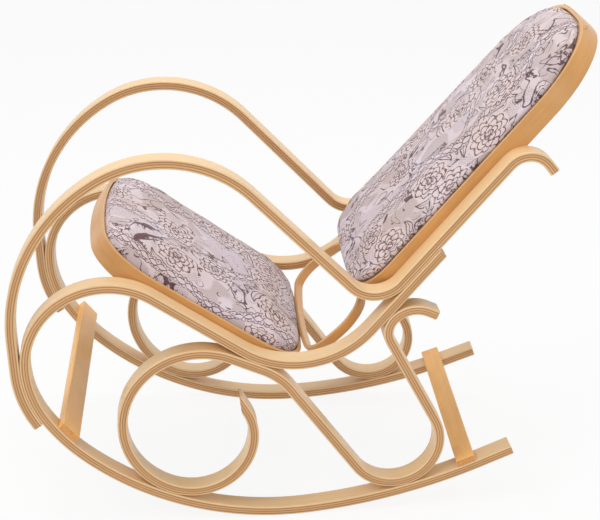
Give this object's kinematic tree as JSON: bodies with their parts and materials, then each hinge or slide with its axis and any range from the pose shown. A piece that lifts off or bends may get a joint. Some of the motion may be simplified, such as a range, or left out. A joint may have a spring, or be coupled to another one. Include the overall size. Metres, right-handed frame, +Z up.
{
  "type": "rocking chair",
  "caption": "Bentwood rocking chair with laminated bent side frames on curved runners, scrolled braces, hooped seat and back with crowned fabric pads and a ring brace between them",
  "frame": {"origin": "middle of the bounding box's footprint, on the floor under the runners", "axes": "+Z up; the chair faces -Y, so +Y points to its back; +X is the sitter's left side; the chair is mirror symmetric about X = 0"},
  "size_m": [0.5936, 1.1494, 0.9591],
  "materials": {
    "bent_wood": "clear satin lacquer over light laminated veneers",
    "stretcher_wood": "clear satin lacquer",
    "hoop_wood": "clear satin lacquer",
    "board": "raw plywood, hidden",
    "foam": "soft upholstery foam, hidden",
    "upholstery": "woven fabric with a floral lace pattern in dark brown on pinkish grey",
    "lining": "thin plain cloth",
    "screw": "countersunk, zinc plated"
  },
  "bodies": {
    "root": {"left_arm_bend": "bent_wood", "right_arm_bend": "bent_wood", "left_rocker_bend": "bent_wood", "right_rocker_bend": "bent_wood", "left_scroll_bend": "bent_wood", "right_scroll_bend": "bent_wood", "front_stretcher": "stretcher_wood", "rear_stretcher": "stretcher_wood", "ring_brace": "hoop_wood", "seat_hoop": "hoop_wood", "seat_board": "board", "seat_foam": "foam", "seat_cover": "upholstery", "seat_dust_cover": "lining", "back_hoop": "hoop_wood", "back_board": "board", "back_foam": "foam", "back_cover": "upholstery", "back_lining": "lining", "arm_front_screws": "screw", "arm_rear_screws": "screw", "scroll_screws": "screw", "stretcher_screws": "screw", "seat_hoop_screws": "screw", "back_hoop_screws": "screw", "ring_screws": "screw", "seat_board_screws": "screw", "back_board_screws": "screw"}
  },
  "joints": []
}
